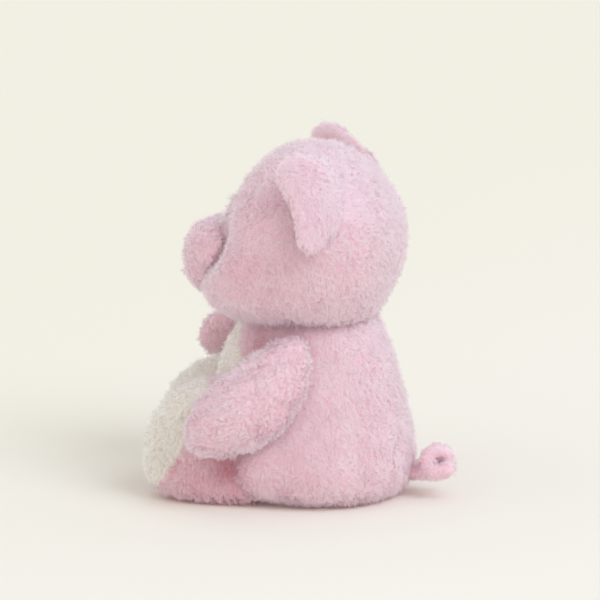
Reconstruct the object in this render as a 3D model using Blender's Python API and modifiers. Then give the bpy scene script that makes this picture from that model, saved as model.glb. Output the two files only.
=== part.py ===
"""Seated plush pig: fabric covers over stuffing, with a head, arms, legs, ears and a tail that move.

Metres, +Z up. The pig faces -Y, its left side is +X, and the origin is on the floor under its middle.
"""
import math

import bmesh
import bpy
from mathutils import Matrix, Vector
from mathutils.bvhtree import BVHTree

# Sizes shared by the whole toy
COVER_WALL = 0.003
SEAM_GAP = 0.0003
FLOOR_CUT = 0.0005
OVERRUN = 0.01
OVAL_SHARE = 2.0

# Torso: a pear with a ball-shaped top that the head nods on
NECK_PIVOT_HEIGHT = 0.095
NECK_RADIUS = 0.058
NECK_RING_ANGLES = (14, 28, 42, 55, 67)
TORSO_FRONT_REACH = 0.069
TORSO_BACK_REACH = 0.0755
TORSO_HALF_WIDTH = 0.073
TORSO_SIDES = 24
# height share of the shoulder line, then front, back and half-width shares
TORSO_RING_SHARES = (
    (0.900, 0.870, 0.752, 0.772),
    (0.807, 0.928, 0.803, 0.805),
    (0.680, 0.978, 0.857, 0.862),
    (0.527, 1.000, 0.916, 0.920),
    (0.374, 0.990, 0.968, 0.966),
    (0.221, 0.950, 1.000, 1.000),
    (0.105, 0.890, 0.965, 0.950),
    (0.034, 0.783, 0.870, 0.790),
)
TORSO_BASE_SHARES = (0.64, 0.71, 0.600)
TORSO_SQUARE_SHARE = 2.0

# Belly panel: a long shield sewn into the front
BELLY_TOP_HEIGHT = 0.130
BELLY_WIDE_HEIGHT = 0.098
BELLY_HALF_WIDTH = 0.046
BELLY_TOP_HALF_WIDTH = 0.012
BELLY_BACK_EDGE = 0.030

# Base panel under the torso, and the weighted pouch that rests on it
BASE_HALF_WIDTH = 0.050
BASE_HALF_DEPTH = 0.042
BASE_BACK_SHIFT = 0.010
POUCH_HALF_WIDTH = 0.040
POUCH_HALF_DEPTH = 0.034
POUCH_HEIGHT = 0.024
POUCH_SIDES = 20

# Head: a ball with full cheeks, dished underneath to sit on the torso
HEAD_BASE_RISE = 0.0265
HEAD_HEIGHT = 0.1335
HEAD_FRONT_REACH = 0.076
HEAD_BACK_REACH = 0.0665
HEAD_HALF_WIDTH = 0.077
HEAD_SIDES = 24
HEAD_SQUARE_SHARE = 2.4
# height share from the base, then front, back and half-width shares
HEAD_RING_SHARES = (
    (0.976, 0.190, 0.240, 0.250),
    (0.925, 0.370, 0.470, 0.470),
    (0.843, 0.530, 0.682, 0.670),
    (0.745, 0.635, 0.826, 0.820),
    (0.640, 0.728, 0.942, 0.920),
    (0.528, 0.820, 1.000, 0.980),
    (0.415, 0.910, 1.000, 1.000),
    (0.310, 0.985, 0.957, 1.000),
    (0.220, 1.000, 0.870, 0.950),
    (0.145, 0.955, 0.797, 0.842),
    (0.086, 0.830, 0.739, 0.700),
    (0.041, 0.600, 0.652, 0.550),
    (0.011, 0.263, 0.362, 0.300),
)
HEAD_UNDER_RING = 11
DISH_SIDES = 28
DISH_RINGS = 20

# Snout
SNOUT_RISE = 0.0752
SNOUT_FRONT_REACH = 0.089
SNOUT_LENGTH = 0.040
SNOUT_HALF_WIDTH = 0.029
SNOUT_HALF_HEIGHT = 0.0285
SNOUT_DISC_DEPTH = 0.009
SNOUT_SIDES = 20
# share of the length behind the front, then the share of the half sizes
SNOUT_RING_SHARES = ((0.03, 0.46), (0.12, 0.74), (0.28, 0.92), (0.50, 1.0), (0.75, 0.98), (0.93, 0.80))
NOSTRIL_SPACING = 0.020
NOSTRIL_HALF_WIDTH = 0.0035
NOSTRIL_HALF_HEIGHT = 0.0055
NOSTRIL_HALF_DEPTH = 0.0018

# Eyes: a bead on a stem, held by a washer behind the cover
EYE_HALF_SPACING = 0.015
EYE_RISE = 0.111
EYE_RADIUS = 0.0045
EYE_DOME_HEIGHT = 0.0018
EYE_STEM_RADIUS = 0.0015
EYE_STEM_LENGTH = 0.008
EYE_WASHER_RADIUS = 0.0050
EYE_WASHER_THICKNESS = 0.0015
EYE_SIDES = 16

# Ears: two cloth leaves on a rolled seam along the side of the head
EAR_HEIGHT = 0.070
EAR_REACH = 0.042
EAR_CURL_REACH = 0.110
EAR_LIFT_SHARE = 0.62
EAR_HALF_THICKNESS = 0.0042
EAR_FRONT_SHARE = 0.72
EAR_SEAM_LENGTH = 0.040
EAR_SEAM_RADIUS = 0.0032
EAR_SEAM_LIFT = 0.0008
EAR_SIDES = 12
EAR_LOW_DIRECTION = (0.95, 0.37, 0.08)
EAR_HIGH_DIRECTION = (0.68, 0.39, 0.73)
# share of the height, then root, free-edge and thickness shares
EAR_RING_SHARES = (
    (-0.47, 0.27, 0.54, 0.60),
    (-0.38, 0.14, 0.59, 0.85),
    (-0.22, 0.04, 0.65, 1.00),
    (-0.06, 0.01, 0.73, 1.00),
    (0.06, -0.01, 0.88, 1.00),
    (0.20, -0.03, 1.00, 1.00),
    (0.34, -0.04, 1.02, 0.95),
    (0.45, 0.06, 0.91, 0.70),
)
EAR_LOW_TIP_SHARES = (-0.5, 0.42)
EAR_HIGH_TIP_SHARES = (0.51, 0.50)

# Arms: paddles that lie against the sides and turn at the shoulder
ARM_LENGTH = 0.101
ARM_HALF_WIDTH = 0.0325
ARM_THICKNESS = 0.032
ARM_SIDE_ANGLE = 14.5
ARM_ANGLES = {"left": 51.5, "right": 19.5}
ARM_SEAM_DEPTH = 0.011
ARM_SIDES = 16
# share of the length, then upper edge, lower edge and thickness shares
ARM_RING_SHARES = (
    (-0.135, 0.290, 0.150, 0.38),
    (-0.060, 0.480, 0.440, 0.62),
    (0.090, 0.650, 0.760, 0.78),
    (0.290, 0.830, 0.960, 0.92),
    (0.490, 0.950, 0.940, 1.00),
    (0.670, 1.000, 0.740, 1.00),
    (0.830, 0.900, 0.390, 0.86),
    (0.945, 0.660, 0.030, 0.56),
)
ARM_ROOT_SHARES = (-0.160, 0.07)
ARM_TIP_SHARES = (1.0, 0.32)

# Legs: stretched forward, with a flat sole sewn across the front
HIP_HALF_SPACING = 0.039
HIP_FORWARD = 0.050
LEG_HALF_WIDTH = 0.031
LEG_REACHES = {"left": 0.062, "right": 0.067}
LEG_LEAN_SHARES = {"left": 0.13, "right": 0.02}
LEG_HEIGHT = 0.090
LEG_SIDES = 20
LEG_RINGS = 10
LEG_UPPER_ROUND_SHARE = 0.97
LEG_LOWER_ROUND_SHARE = 0.55
LEG_FRONT_ROUND_SHARE = 0.85
LEG_CLEARANCE = 0.0008
LEG_CLOSE_ANGLE = 6
SOLE_SEAM_REACH = 0.037
SOLE_SEAM_HEIGHT = 0.047
SOLE_LEAN_ANGLE = 27
SOLE_TOE_ANGLE = 21

# Tail: one curl of a soft tube, rooted in a dimple of the back
TAIL_RADIUS = 0.0061
TAIL_ROOT_HEIGHT = 0.017
TAIL_ROOT_STANDOFF = 0.0035
TAIL_SOCKET_CLEARANCE = 0.0009
TAIL_CURL_RADIUS = 0.0066
TAIL_CURL_BACK = 0.0150
TAIL_CURL_RISE = 0.0095
TAIL_SIDE_START = -0.0062
TAIL_CURL_PITCH = 0.0172
TAIL_TIP_REACH = 0.0145
TAIL_TIP_RISE = 0.005
TAIL_TURN_POINTS = 16
# share of the way out to the curl, then radius share
TAIL_ROOT_SHARES = ((-0.42, 0.35), (-0.33, 0.70), (-0.17, 0.93), (0.0, 1.0), (0.28, 1.0), (0.62, 1.0))
# shares of the tip's reach and rise, then radius share
TAIL_TIP_SHARES = (
    (0.30, 0.20, 1.0),
    (0.58, 0.55, 1.0),
    (0.80, 0.85, 0.93),
    (0.93, 0.96, 0.70),
    (1.0, 1.0, 0.35),
)
TAIL_LEAN_POWER_SHARE = 0.8


def new_collection(name):
    """Add an empty collection to the scene."""
    collection = bpy.data.collections.new(name)
    bpy.context.scene.collection.children.link(collection)
    return collection


def fabric(name, colour, roughness):
    """Make the Principled material of a cloth or a filling."""
    material = bpy.data.materials.new(name)
    material.use_nodes = True
    shader = material.node_tree.nodes["Principled BSDF"]
    shader.inputs["Base Color"].default_value = (*colour, 1.0)
    shader.inputs["Roughness"].default_value = roughness
    shader.inputs["Metallic"].default_value = 0.0
    return material


def pivot_empty(name, location, parent=None):
    """Add an empty on a joint's axis; location is in its parent's frame."""
    empty = bpy.data.objects.new(name, None)
    empty.location = location
    empty.parent = parent
    pig.objects.link(empty)
    return empty


def add_part(name, mesh, material, pivot=None):
    """Add a sub-part whose mesh is measured from its pivot, with its own material."""
    part = bpy.data.objects.new(name, mesh.copy())
    part.data.name = name
    part.data.materials.clear()
    part.data.materials.append(fabric(name, *material))
    part.data.shade_smooth()
    part.parent = pivot
    pig.objects.link(part)
    return part


def add_cutter(name, mesh, pivot=None, turn=0.0):
    """Add a cutter, which is never part of the toy."""
    cutter = bpy.data.objects.new(name, mesh)
    cutter.parent = pivot
    cutter.rotation_euler = (0.0, 0.0, turn)
    cutter.hide_render = True
    cutter.display_type = 'WIRE'
    cutters.objects.link(cutter)
    return cutter


def cut(part, cutter, operation='DIFFERENCE'):
    """Cut a part with a cutter, or keep only what lies inside it."""
    modifier = part.modifiers.new(cutter.name, 'BOOLEAN')
    modifier.operation = operation
    modifier.solver = 'EXACT'
    modifier.object = cutter


def hollow(part):
    """Turn a closed form into a cover of cloth."""
    wall = part.modifiers.new("wall", 'SOLIDIFY')
    wall.thickness = COVER_WALL
    wall.offset = -1.0
    wall.use_even_offset = True


def mesh_of(bm, name):
    """Store a bmesh as a mesh whose faces point outwards."""
    bmesh.ops.recalc_face_normals(bm, faces=bm.faces)
    if bm.calc_volume(signed=True) < 0:
        bmesh.ops.reverse_faces(bm, faces=bm.faces)
    mesh = bpy.data.meshes.new(name)
    bm.to_mesh(mesh)
    bm.free()
    return mesh


def power(value, exponent):
    """Raise the size of a number to a power and keep its sign."""
    return math.copysign(abs(value) ** exponent, value)


def ringed_form(name, start, rings, end, sides, squareness, place):
    """Shape a sphere ring by ring, from its first pole to its last.

    A ring is (station, near edge, far edge, half width), a pole is (station, middle),
    and place turns (across, along, station) into a point.
    """
    bm = bmesh.new()
    count = len(rings) + 1
    bmesh.ops.create_uvsphere(bm, u_segments=sides, v_segments=count, radius=1.0)
    for vertex in bm.verts:
        index = round(math.acos(max(-1.0, min(1.0, vertex.co.z))) / math.pi * count)
        if index in (0, count):
            station, middle = start if index == 0 else end
            vertex.co = place(0.0, middle, station)
            continue
        station, near, far, half_width = rings[index - 1]
        angle = math.atan2(vertex.co.y, vertex.co.x)
        across = half_width * power(math.cos(angle), 2 / squareness)
        along = (near + far) / 2 + (far - near) / 2 * power(math.sin(angle), 2 / squareness)
        vertex.co = place(across, along, station)
    return mesh_of(bm, name)


def upright(across, along, height):
    """Place a form whose stations are heights."""
    return Vector((across, along, height))


def offset_mesh(mesh, name, distance):
    """Copy a closed form and move its surface out, or in when distance is negative."""
    bm = bmesh.new()
    bm.from_mesh(mesh)
    bm.normal_update()
    moves = [vertex.normal * (distance * vertex.calc_shell_factor()) for vertex in bm.verts]
    for vertex, move in zip(bm.verts, moves):
        vertex.co += move
    return mesh_of(bm, name)


def cylinder_mesh(name, radius_x, radius_y, low, high, sides, turn=Matrix()):
    """Make an oval cylinder between two heights, then turn it as a whole."""
    bm = bmesh.new()
    bmesh.ops.create_cone(bm, cap_ends=True, segments=sides, radius1=1.0, radius2=1.0, depth=1.0)
    middle = Matrix.Translation((0, 0, (low + high) / 2))
    stretch = Matrix.Diagonal((radius_x, radius_y, high - low, 1.0))
    bmesh.ops.transform(bm, verts=bm.verts, matrix=turn @ middle @ stretch)
    return mesh_of(bm, name)


def sphere_mesh(name, radii, centre, sides, rings, turn=Matrix()):
    """Make an oval ball, turned about its own centre."""
    bm = bmesh.new()
    bmesh.ops.create_uvsphere(bm, u_segments=sides, v_segments=rings, radius=1.0)
    stretch = Matrix.Diagonal((*radii, 1.0))
    bmesh.ops.transform(bm, verts=bm.verts, matrix=Matrix.Translation(centre) @ turn @ stretch)
    return mesh_of(bm, name)


def side_block(name, point, normal, size):
    """Make a block that fills everything on the normal's side of a plane."""
    bm = bmesh.new()
    bmesh.ops.create_cube(bm, size=size)
    normal = Vector(normal).normalized()
    turn = normal.to_track_quat('Z', 'Y').to_matrix().to_4x4()
    middle = Matrix.Translation(Vector(point) + normal * (size / 2))
    bmesh.ops.transform(bm, verts=bm.verts, matrix=middle @ turn)
    return mesh_of(bm, name)


def prism_mesh(name, outline, near, far):
    """Make a prism along Y from an outline of (across, height) points."""
    bm = bmesh.new()
    face = bm.faces.new([bm.verts.new((across, near, height)) for across, height in outline])
    grown = bmesh.ops.extrude_face_region(bm, geom=[face])["geom"]
    moved = [item for item in grown if isinstance(item, bmesh.types.BMVert)]
    bmesh.ops.translate(bm, verts=moved, vec=(0.0, far - near, 0.0))
    return mesh_of(bm, name)


def surface_point(mesh, centre, direction):
    """Find where a ray from inside a form leaves it, and the surface normal there."""
    bm = bmesh.new()
    bm.from_mesh(mesh)
    tree = BVHTree.FromBMesh(bm)
    point, normal, _, _ = tree.ray_cast(Vector(centre), Vector(direction).normalized())
    bm.free()
    return point, normal


# Start from an empty scene
for old in list(bpy.data.objects):
    bpy.data.objects.remove(old, do_unlink=True)
pig = new_collection("plush_pig")
cutters = new_collection("cutters")

PINK_PLUSH = ((0.76, 0.54, 0.61), 0.95)
CREAM_PLUSH = ((0.82, 0.78, 0.70), 0.95)
FILLING = ((0.86, 0.85, 0.82), 1.0)
POUCH_CLOTH = ((0.70, 0.66, 0.58), 0.9)
BEAD_BLACK = ((0.012, 0.010, 0.010), 0.2)
WASHER_WHITE = ((0.72, 0.72, 0.70), 0.5)
THREAD_ROSE = ((0.48, 0.20, 0.27), 0.7)

SIDES = {"left": 1.0, "right": -1.0}
wall_and_gap = COVER_WALL + SEAM_GAP
widest = 2 * (NECK_PIVOT_HEIGHT + HEAD_BASE_RISE + HEAD_HEIGHT)

# Joint pivots of the neck and the hips
neck = pivot_empty("neck_pivot", (0.0, 0.0, NECK_PIVOT_HEIGHT))
hips = {side: pivot_empty(f"hip_pivot_{side}", (sign * HIP_HALF_SPACING, -HIP_FORWARD, 0.0))
        for side, sign in SIDES.items()}


# Torso form: rings on the ball, then the swelling pear, then a flat underside
def torso_rings():
    """List the torso's rings from the neck down to the floor."""
    rings = []
    for angle in NECK_RING_ANGLES:
        reach = NECK_RADIUS * math.sin(math.radians(angle))
        height = NECK_PIVOT_HEIGHT + NECK_RADIUS * math.cos(math.radians(angle))
        rings.append((height, -reach, reach, reach))
    shoulder_line = rings[-1][0]
    for height_share, front_share, back_share, width_share in TORSO_RING_SHARES:
        rings.append((shoulder_line * height_share, -TORSO_FRONT_REACH * front_share,
                      TORSO_BACK_REACH * back_share, TORSO_HALF_WIDTH * width_share))
    front_share, back_share, width_share = TORSO_BASE_SHARES
    rings.append((-FLOOR_CUT, -TORSO_FRONT_REACH * front_share,
                  TORSO_BACK_REACH * back_share, TORSO_HALF_WIDTH * width_share))
    return rings


torso_form = ringed_form(
    "torso_form", (NECK_PIVOT_HEIGHT + NECK_RADIUS, 0.0), torso_rings(), (-FLOOR_CUT, 0.0),
    TORSO_SIDES, TORSO_SQUARE_SHARE, upright)


# Leg form: round behind, where it turns in the torso, and drawn out to the foot in front
def leg_mesh(side):
    """Shape a sphere into a leg, measured from the hip's axis at the floor, its front leaning back."""
    bm = bmesh.new()
    bmesh.ops.create_uvsphere(bm, u_segments=LEG_SIDES, v_segments=LEG_RINGS, radius=1.0)
    for vertex in bm.verts:
        roundness = LEG_UPPER_ROUND_SHARE if vertex.co.z > 0 else LEG_LOWER_ROUND_SHARE
        across = math.hypot(vertex.co.x, vertex.co.y)
        spread = across ** roundness
        height = (LEG_HEIGHT + FLOOR_CUT) / 2 * (1 + power(vertex.co.z, roundness)) - FLOOR_CUT
        angle = math.atan2(vertex.co.y, vertex.co.x)
        x = LEG_HALF_WIDTH * spread * math.cos(angle)
        y = LEG_HALF_WIDTH * spread * math.sin(angle)
        if vertex.co.y < 0:
            x = LEG_HALF_WIDTH * spread * power(math.cos(angle), LEG_FRONT_ROUND_SHARE)
            reach = LEG_REACHES[side] * (1 - LEG_LEAN_SHARES[side] * vertex.co.z)
            y = reach * spread * power(math.sin(angle), LEG_FRONT_ROUND_SHARE)
        vertex.co = (x, y, height)
    return mesh_of(bm, "leg_form")


leg_forms = {side: leg_mesh(side) for side in SIDES}


def pocket_mesh(side, sign):
    """Grow the leg and widen its inner side by the way it sweeps when the legs close."""
    bm = bmesh.new()
    bm.from_mesh(offset_mesh(leg_forms[side], "leg_pocket", LEG_CLEARANCE))
    sweep = math.sin(math.radians(LEG_CLOSE_ANGLE))
    for vertex in bm.verts:
        inner_share = (1 - sign * vertex.co.x / (LEG_HALF_WIDTH + LEG_CLEARANCE)) / 2
        vertex.co.x += sign * sweep * min(vertex.co.y, 0.0) * inner_share
    return mesh_of(bm, "leg_pocket")


below_floor = add_cutter("below_floor", side_block("below_floor", (0, 0, 0), (0, 0, -1), widest))
hip_pockets = [add_cutter(f"hip_pocket_{side}", pocket_mesh(side, sign), hips[side])
               for side, sign in SIDES.items()]

# Tail socket in the back
tail_seat, tail_normal = surface_point(torso_form, (0, 0, TAIL_ROOT_HEIGHT), (0, 1, 0))
tail_root = pivot_empty("tail_pivot", (0.0, tail_seat.y + TAIL_ROOT_STANDOFF, TAIL_ROOT_HEIGHT))
tail_socket = add_cutter("tail_socket", sphere_mesh(
    "tail_socket", (TAIL_RADIUS + TAIL_SOCKET_CLEARANCE,) * 3, (0, 0, 0), DISH_SIDES // 2,
    DISH_RINGS // 2), tail_root)

# Torso: pear-shaped cover, belly shield, base panel, filling and weighted pouch
belly_outline = (
    (-BELLY_TOP_HALF_WIDTH, BELLY_TOP_HEIGHT), (-BELLY_HALF_WIDTH, BELLY_WIDE_HEIGHT),
    (-BELLY_HALF_WIDTH, -OVERRUN), (BELLY_HALF_WIDTH, -OVERRUN),
    (BELLY_HALF_WIDTH, BELLY_WIDE_HEIGHT), (BELLY_TOP_HALF_WIDTH, BELLY_TOP_HEIGHT))
belly_inside = add_cutter("belly_inside", prism_mesh(
    "belly_inside", belly_outline, -BELLY_BACK_EDGE, -TORSO_FRONT_REACH - OVERRUN))
belly_outside = add_cutter("belly_outside", offset_mesh(belly_inside.data, "belly_outside", SEAM_GAP))
base_turn = Matrix.Translation((0, BASE_BACK_SHIFT, 0))
base_inside = add_cutter("base_inside", cylinder_mesh(
    "base_inside", BASE_HALF_WIDTH, BASE_HALF_DEPTH, -OVERRUN, wall_and_gap, TORSO_SIDES, base_turn))
base_outside = add_cutter("base_outside", cylinder_mesh(
    "base_outside", BASE_HALF_WIDTH + SEAM_GAP, BASE_HALF_DEPTH + SEAM_GAP, -OVERRUN, wall_and_gap,
    TORSO_SIDES, base_turn))

torso_cover = add_part("torso_cover", torso_form, PINK_PLUSH)
belly_panel = add_part("belly_panel", torso_form, CREAM_PLUSH)
base_panel = add_part("base_panel", torso_form, PINK_PLUSH)
torso_stuffing = add_part("torso_stuffing", offset_mesh(torso_form, "inside", -wall_and_gap), FILLING)
for cover in (torso_cover, belly_panel, base_panel):
    hollow(cover)
cut(torso_cover, belly_outside)
cut(torso_cover, base_outside)
cut(torso_cover, tail_socket)
cut(belly_panel, belly_inside, 'INTERSECT')
cut(belly_panel, base_outside)
cut(base_panel, base_inside, 'INTERSECT')
for piece in (torso_cover, belly_panel, torso_stuffing):
    for pocket in hip_pockets:
        cut(piece, pocket)
for piece in (torso_cover, belly_panel, base_panel):
    cut(piece, below_floor)

pouch_low = -FLOOR_CUT + wall_and_gap
pouch_centre = (0.0, BASE_BACK_SHIFT, pouch_low)
pouch_form = sphere_mesh("bean_pouch", (POUCH_HALF_WIDTH, POUCH_HALF_DEPTH, POUCH_HEIGHT), pouch_centre,
                         POUCH_SIDES, POUCH_SIDES // 2)
pouch_space = add_cutter("pouch_space", offset_mesh(pouch_form, "pouch_space", SEAM_GAP))
bean_pouch = add_part("bean_pouch", pouch_form, POUCH_CLOTH)
cut(bean_pouch, add_cutter("under_pouch", side_block(
    "under_pouch", (0, 0, pouch_low + SEAM_GAP), (0, 0, -1), widest)))
cut(torso_stuffing, pouch_space)

# Head form, with its dish underneath and its snout, eyes and ears
head_base = HEAD_BASE_RISE
head_rings = [(head_base + HEAD_HEIGHT * height_share, -HEAD_FRONT_REACH * front_share,
               HEAD_BACK_REACH * back_share, HEAD_HALF_WIDTH * width_share)
              for height_share, front_share, back_share, width_share in HEAD_RING_SHARES]
head_form = ringed_form(
    "head_form", (head_base + HEAD_HEIGHT, 0.0), head_rings, (head_base, 0.0),
    HEAD_SIDES, HEAD_SQUARE_SHARE, upright)
flat_shares = math.cos(math.pi / DISH_SIDES) * math.cos(math.pi / DISH_RINGS / 2)
dish_radius = (NECK_RADIUS + SEAM_GAP) / flat_shares
neck_dish = add_cutter("neck_dish", sphere_mesh(
    "neck_dish", (dish_radius,) * 3, (0, 0, 0), DISH_SIDES, DISH_RINGS), neck)
head_core = add_cutter("head_core", offset_mesh(head_form, "head_core", SEAM_GAP), neck)

head_cover = add_part("head_cover", head_form, PINK_PLUSH, neck)
head_stuffing = add_part("head_stuffing", offset_mesh(head_form, "inside", -wall_and_gap), FILLING, neck)
hollow(head_cover)
for piece in (head_cover, head_stuffing):
    cut(piece, neck_dish)


# Snout: a short round muzzle with a disc sewn across its front
def snout_place(across, along, station):
    """Lay the snout's stations out along the pig's facing direction."""
    return Vector((across, station, SNOUT_RISE + along))


snout_rings = [(SNOUT_LENGTH * length_share - SNOUT_FRONT_REACH, -SNOUT_HALF_HEIGHT * size_share,
                SNOUT_HALF_HEIGHT * size_share, SNOUT_HALF_WIDTH * size_share)
               for length_share, size_share in SNOUT_RING_SHARES]
snout_form = ringed_form("snout_form", (-SNOUT_FRONT_REACH, 0.0), snout_rings,
                         (SNOUT_LENGTH - SNOUT_FRONT_REACH, 0.0), SNOUT_SIDES, OVAL_SHARE, snout_place)
disc_plane = SNOUT_DISC_DEPTH - SNOUT_FRONT_REACH
snout_front = add_cutter("snout_front", side_block(
    "snout_front", (0, disc_plane, SNOUT_RISE), (0, -1, 0), widest), neck)
snout_back = add_cutter("snout_back", side_block(
    "snout_back", (0, disc_plane + SEAM_GAP, SNOUT_RISE), (0, 1, 0), widest), neck)
snout_cover = add_part("snout_cover", snout_form, PINK_PLUSH, neck)
snout_disc = add_part("snout_disc", snout_form, PINK_PLUSH, neck)
snout_stuffing = add_part("snout_stuffing", offset_mesh(snout_form, "inside", -wall_and_gap), FILLING, neck)
for cover in (snout_cover, snout_disc):
    hollow(cover)
cut(snout_cover, snout_back, 'INTERSECT')
cut(snout_cover, head_core)
cut(snout_disc, snout_front, 'INTERSECT')
cut(snout_stuffing, head_core)

snout_core = add_cutter("snout_core", offset_mesh(snout_form, "snout_core", SEAM_GAP), neck)
for side, sign in SIDES.items():
    seat, _ = surface_point(snout_form, (sign * NOSTRIL_SPACING / 2, disc_plane, SNOUT_RISE), (0, -1, 0))
    nostril_radii = (NOSTRIL_HALF_WIDTH, NOSTRIL_HALF_DEPTH, NOSTRIL_HALF_HEIGHT)
    nostril = add_part(f"nostril_{side}", sphere_mesh(
        "nostril", nostril_radii, seat, EYE_SIDES, EYE_SIDES // 2), THREAD_ROSE, neck)
    cut(nostril, snout_core)

# Eyes
for side, sign in SIDES.items():
    seat, normal = surface_point(head_form, (sign * EYE_HALF_SPACING, 0, EYE_RISE), (0, -1, 0))
    turn = Matrix.Translation(seat) @ normal.to_track_quat('Z', 'Y').to_matrix().to_4x4()
    washer_top = -wall_and_gap - SEAM_GAP
    stem_end = -wall_and_gap - EYE_STEM_LENGTH
    bead = add_part(f"eye_{side}", sphere_mesh(
        "bead", (EYE_RADIUS, EYE_RADIUS, EYE_DOME_HEIGHT), seat, EYE_SIDES, EYE_SIDES // 2,
        turn.to_3x3().to_4x4()), BEAD_BLACK, neck)
    cut(bead, add_cutter(f"eye_back_{side}", side_block(
        "eye_back", seat + normal * SEAM_GAP, -normal, widest), neck))
    stem = add_cutter(f"eye_stem_{side}", cylinder_mesh(
        "eye_stem", EYE_STEM_RADIUS, EYE_STEM_RADIUS, stem_end, EYE_DOME_HEIGHT / 2, EYE_SIDES, turn), neck)
    cut(bead, stem, 'UNION')
    washer = add_part(f"eye_washer_{side}", cylinder_mesh(
        "washer", EYE_WASHER_RADIUS, EYE_WASHER_RADIUS, washer_top - EYE_WASHER_THICKNESS, washer_top,
        EYE_SIDES, turn), WASHER_WHITE, neck)
    stem_hole = add_cutter(f"stem_hole_{side}", cylinder_mesh(
        "stem_hole", EYE_STEM_RADIUS + SEAM_GAP, EYE_STEM_RADIUS + SEAM_GAP, stem_end - SEAM_GAP, OVERRUN,
        EYE_SIDES, turn), neck)
    washer_space = add_cutter(f"washer_space_{side}", cylinder_mesh(
        "washer_space", EYE_WASHER_RADIUS + SEAM_GAP, EYE_WASHER_RADIUS + SEAM_GAP, stem_end - SEAM_GAP,
        -wall_and_gap, EYE_SIDES, turn), neck)
    cut(washer, stem_hole)
    cut(head_cover, stem_hole)
    cut(head_cover, washer_space)
    cut(head_stuffing, washer_space)

# Ears: leaves split through their thickness, the outer one rolled over the seam
head_middle = Vector((0.0, 0.0, head_base + HEAD_HEIGHT / 2))
for side, sign in SIDES.items():
    mirror = Vector((sign, 1.0, 1.0))
    low, _ = surface_point(head_form, head_middle, Vector(EAR_LOW_DIRECTION) * mirror)
    high, _ = surface_point(head_form, head_middle, Vector(EAR_HIGH_DIRECTION) * mirror)
    crest, _ = surface_point(head_form, head_middle, (low + high) / 2 - head_middle)
    axis = (high - low).normalized()
    outward = crest - head_middle
    outward = (outward - axis * outward.dot(axis)).normalized()
    forward = outward.cross(axis) * sign
    root = pivot_empty(f"ear_pivot_{side}", crest + outward * EAR_SEAM_LIFT, neck)

    ear_rings = [(EAR_HEIGHT * height_share, EAR_REACH * root_share, EAR_REACH * edge_share,
                  EAR_HALF_THICKNESS * thick_share)
                 for height_share, root_share, edge_share, thick_share in EAR_RING_SHARES]
    leaves = {}
    for layer, face in (("back", outward), ("front", -outward * EAR_FRONT_SHARE)):
        def leaf_place(thick, along, station, axes=(face, forward, outward, axis)):
            """Lay one leaf out from the hinge, cupped over the head and even where the leaves meet."""
            rise = along * (EAR_LIFT_SHARE - along / EAR_CURL_REACH)
            return axes[0] * max(thick, SEAM_GAP / 2) + axes[1] * along + axes[2] * rise + axes[3] * station

        leaves[layer] = add_part(f"ear_{layer}_{side}", ringed_form(
            "ear_form", (EAR_HEIGHT * EAR_LOW_TIP_SHARES[0], EAR_REACH * EAR_LOW_TIP_SHARES[1]), ear_rings,
            (EAR_HEIGHT * EAR_HIGH_TIP_SHARES[0], EAR_REACH * EAR_HIGH_TIP_SHARES[1]),
            EAR_SIDES, OVAL_SHARE, leaf_place), PINK_PLUSH, root)
    seam_turn = axis.to_track_quat('Z', 'Y').to_matrix().to_4x4()
    seam_form = sphere_mesh("ear_seam", (EAR_SEAM_RADIUS, EAR_SEAM_RADIUS, EAR_SEAM_LENGTH / 2), (0, 0, 0),
                            EYE_SIDES, EYE_SIDES // 2, seam_turn)
    rolled_seam = add_cutter(f"ear_seam_{side}", seam_form, root)
    seam_space = add_cutter(f"ear_seam_space_{side}", offset_mesh(seam_form, "seam_space", SEAM_GAP), root)
    cut(leaves["back"], rolled_seam, 'UNION')
    cut(leaves["front"], seam_space)
    cut(head_cover, seam_space)

# Arms: their flat inner faces lie on a plane that leans against the torso and clears the legs
tilt = math.radians(ARM_SIDE_ANGLE)
side_normal = Vector((math.cos(tilt), 0.0, math.sin(tilt)))
reaches = [vertex.co.dot(side_normal) for vertex in torso_form.vertices]
reaches += [(vertex.co + Vector((HIP_HALF_SPACING, -HIP_FORWARD, 0.0))).dot(side_normal)
            for form in leg_forms.values() for vertex in form.vertices]
plane_offset = max(reaches) + SEAM_GAP
arm_rings = [(ARM_LENGTH * length_share, -ARM_HALF_WIDTH * lower_share, ARM_HALF_WIDTH * upper_share,
              ARM_THICKNESS * thick_share)
             for length_share, upper_share, lower_share, thick_share in ARM_RING_SHARES]
shoulder_reach = max(math.hypot(station, far) for station, _, far, _ in arm_rings[:2])
shoulder_height = NECK_PIVOT_HEIGHT + head_rings[HEAD_UNDER_RING][0] - shoulder_reach
shoulder_side = (plane_offset - shoulder_height * side_normal.z) / side_normal.x
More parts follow.
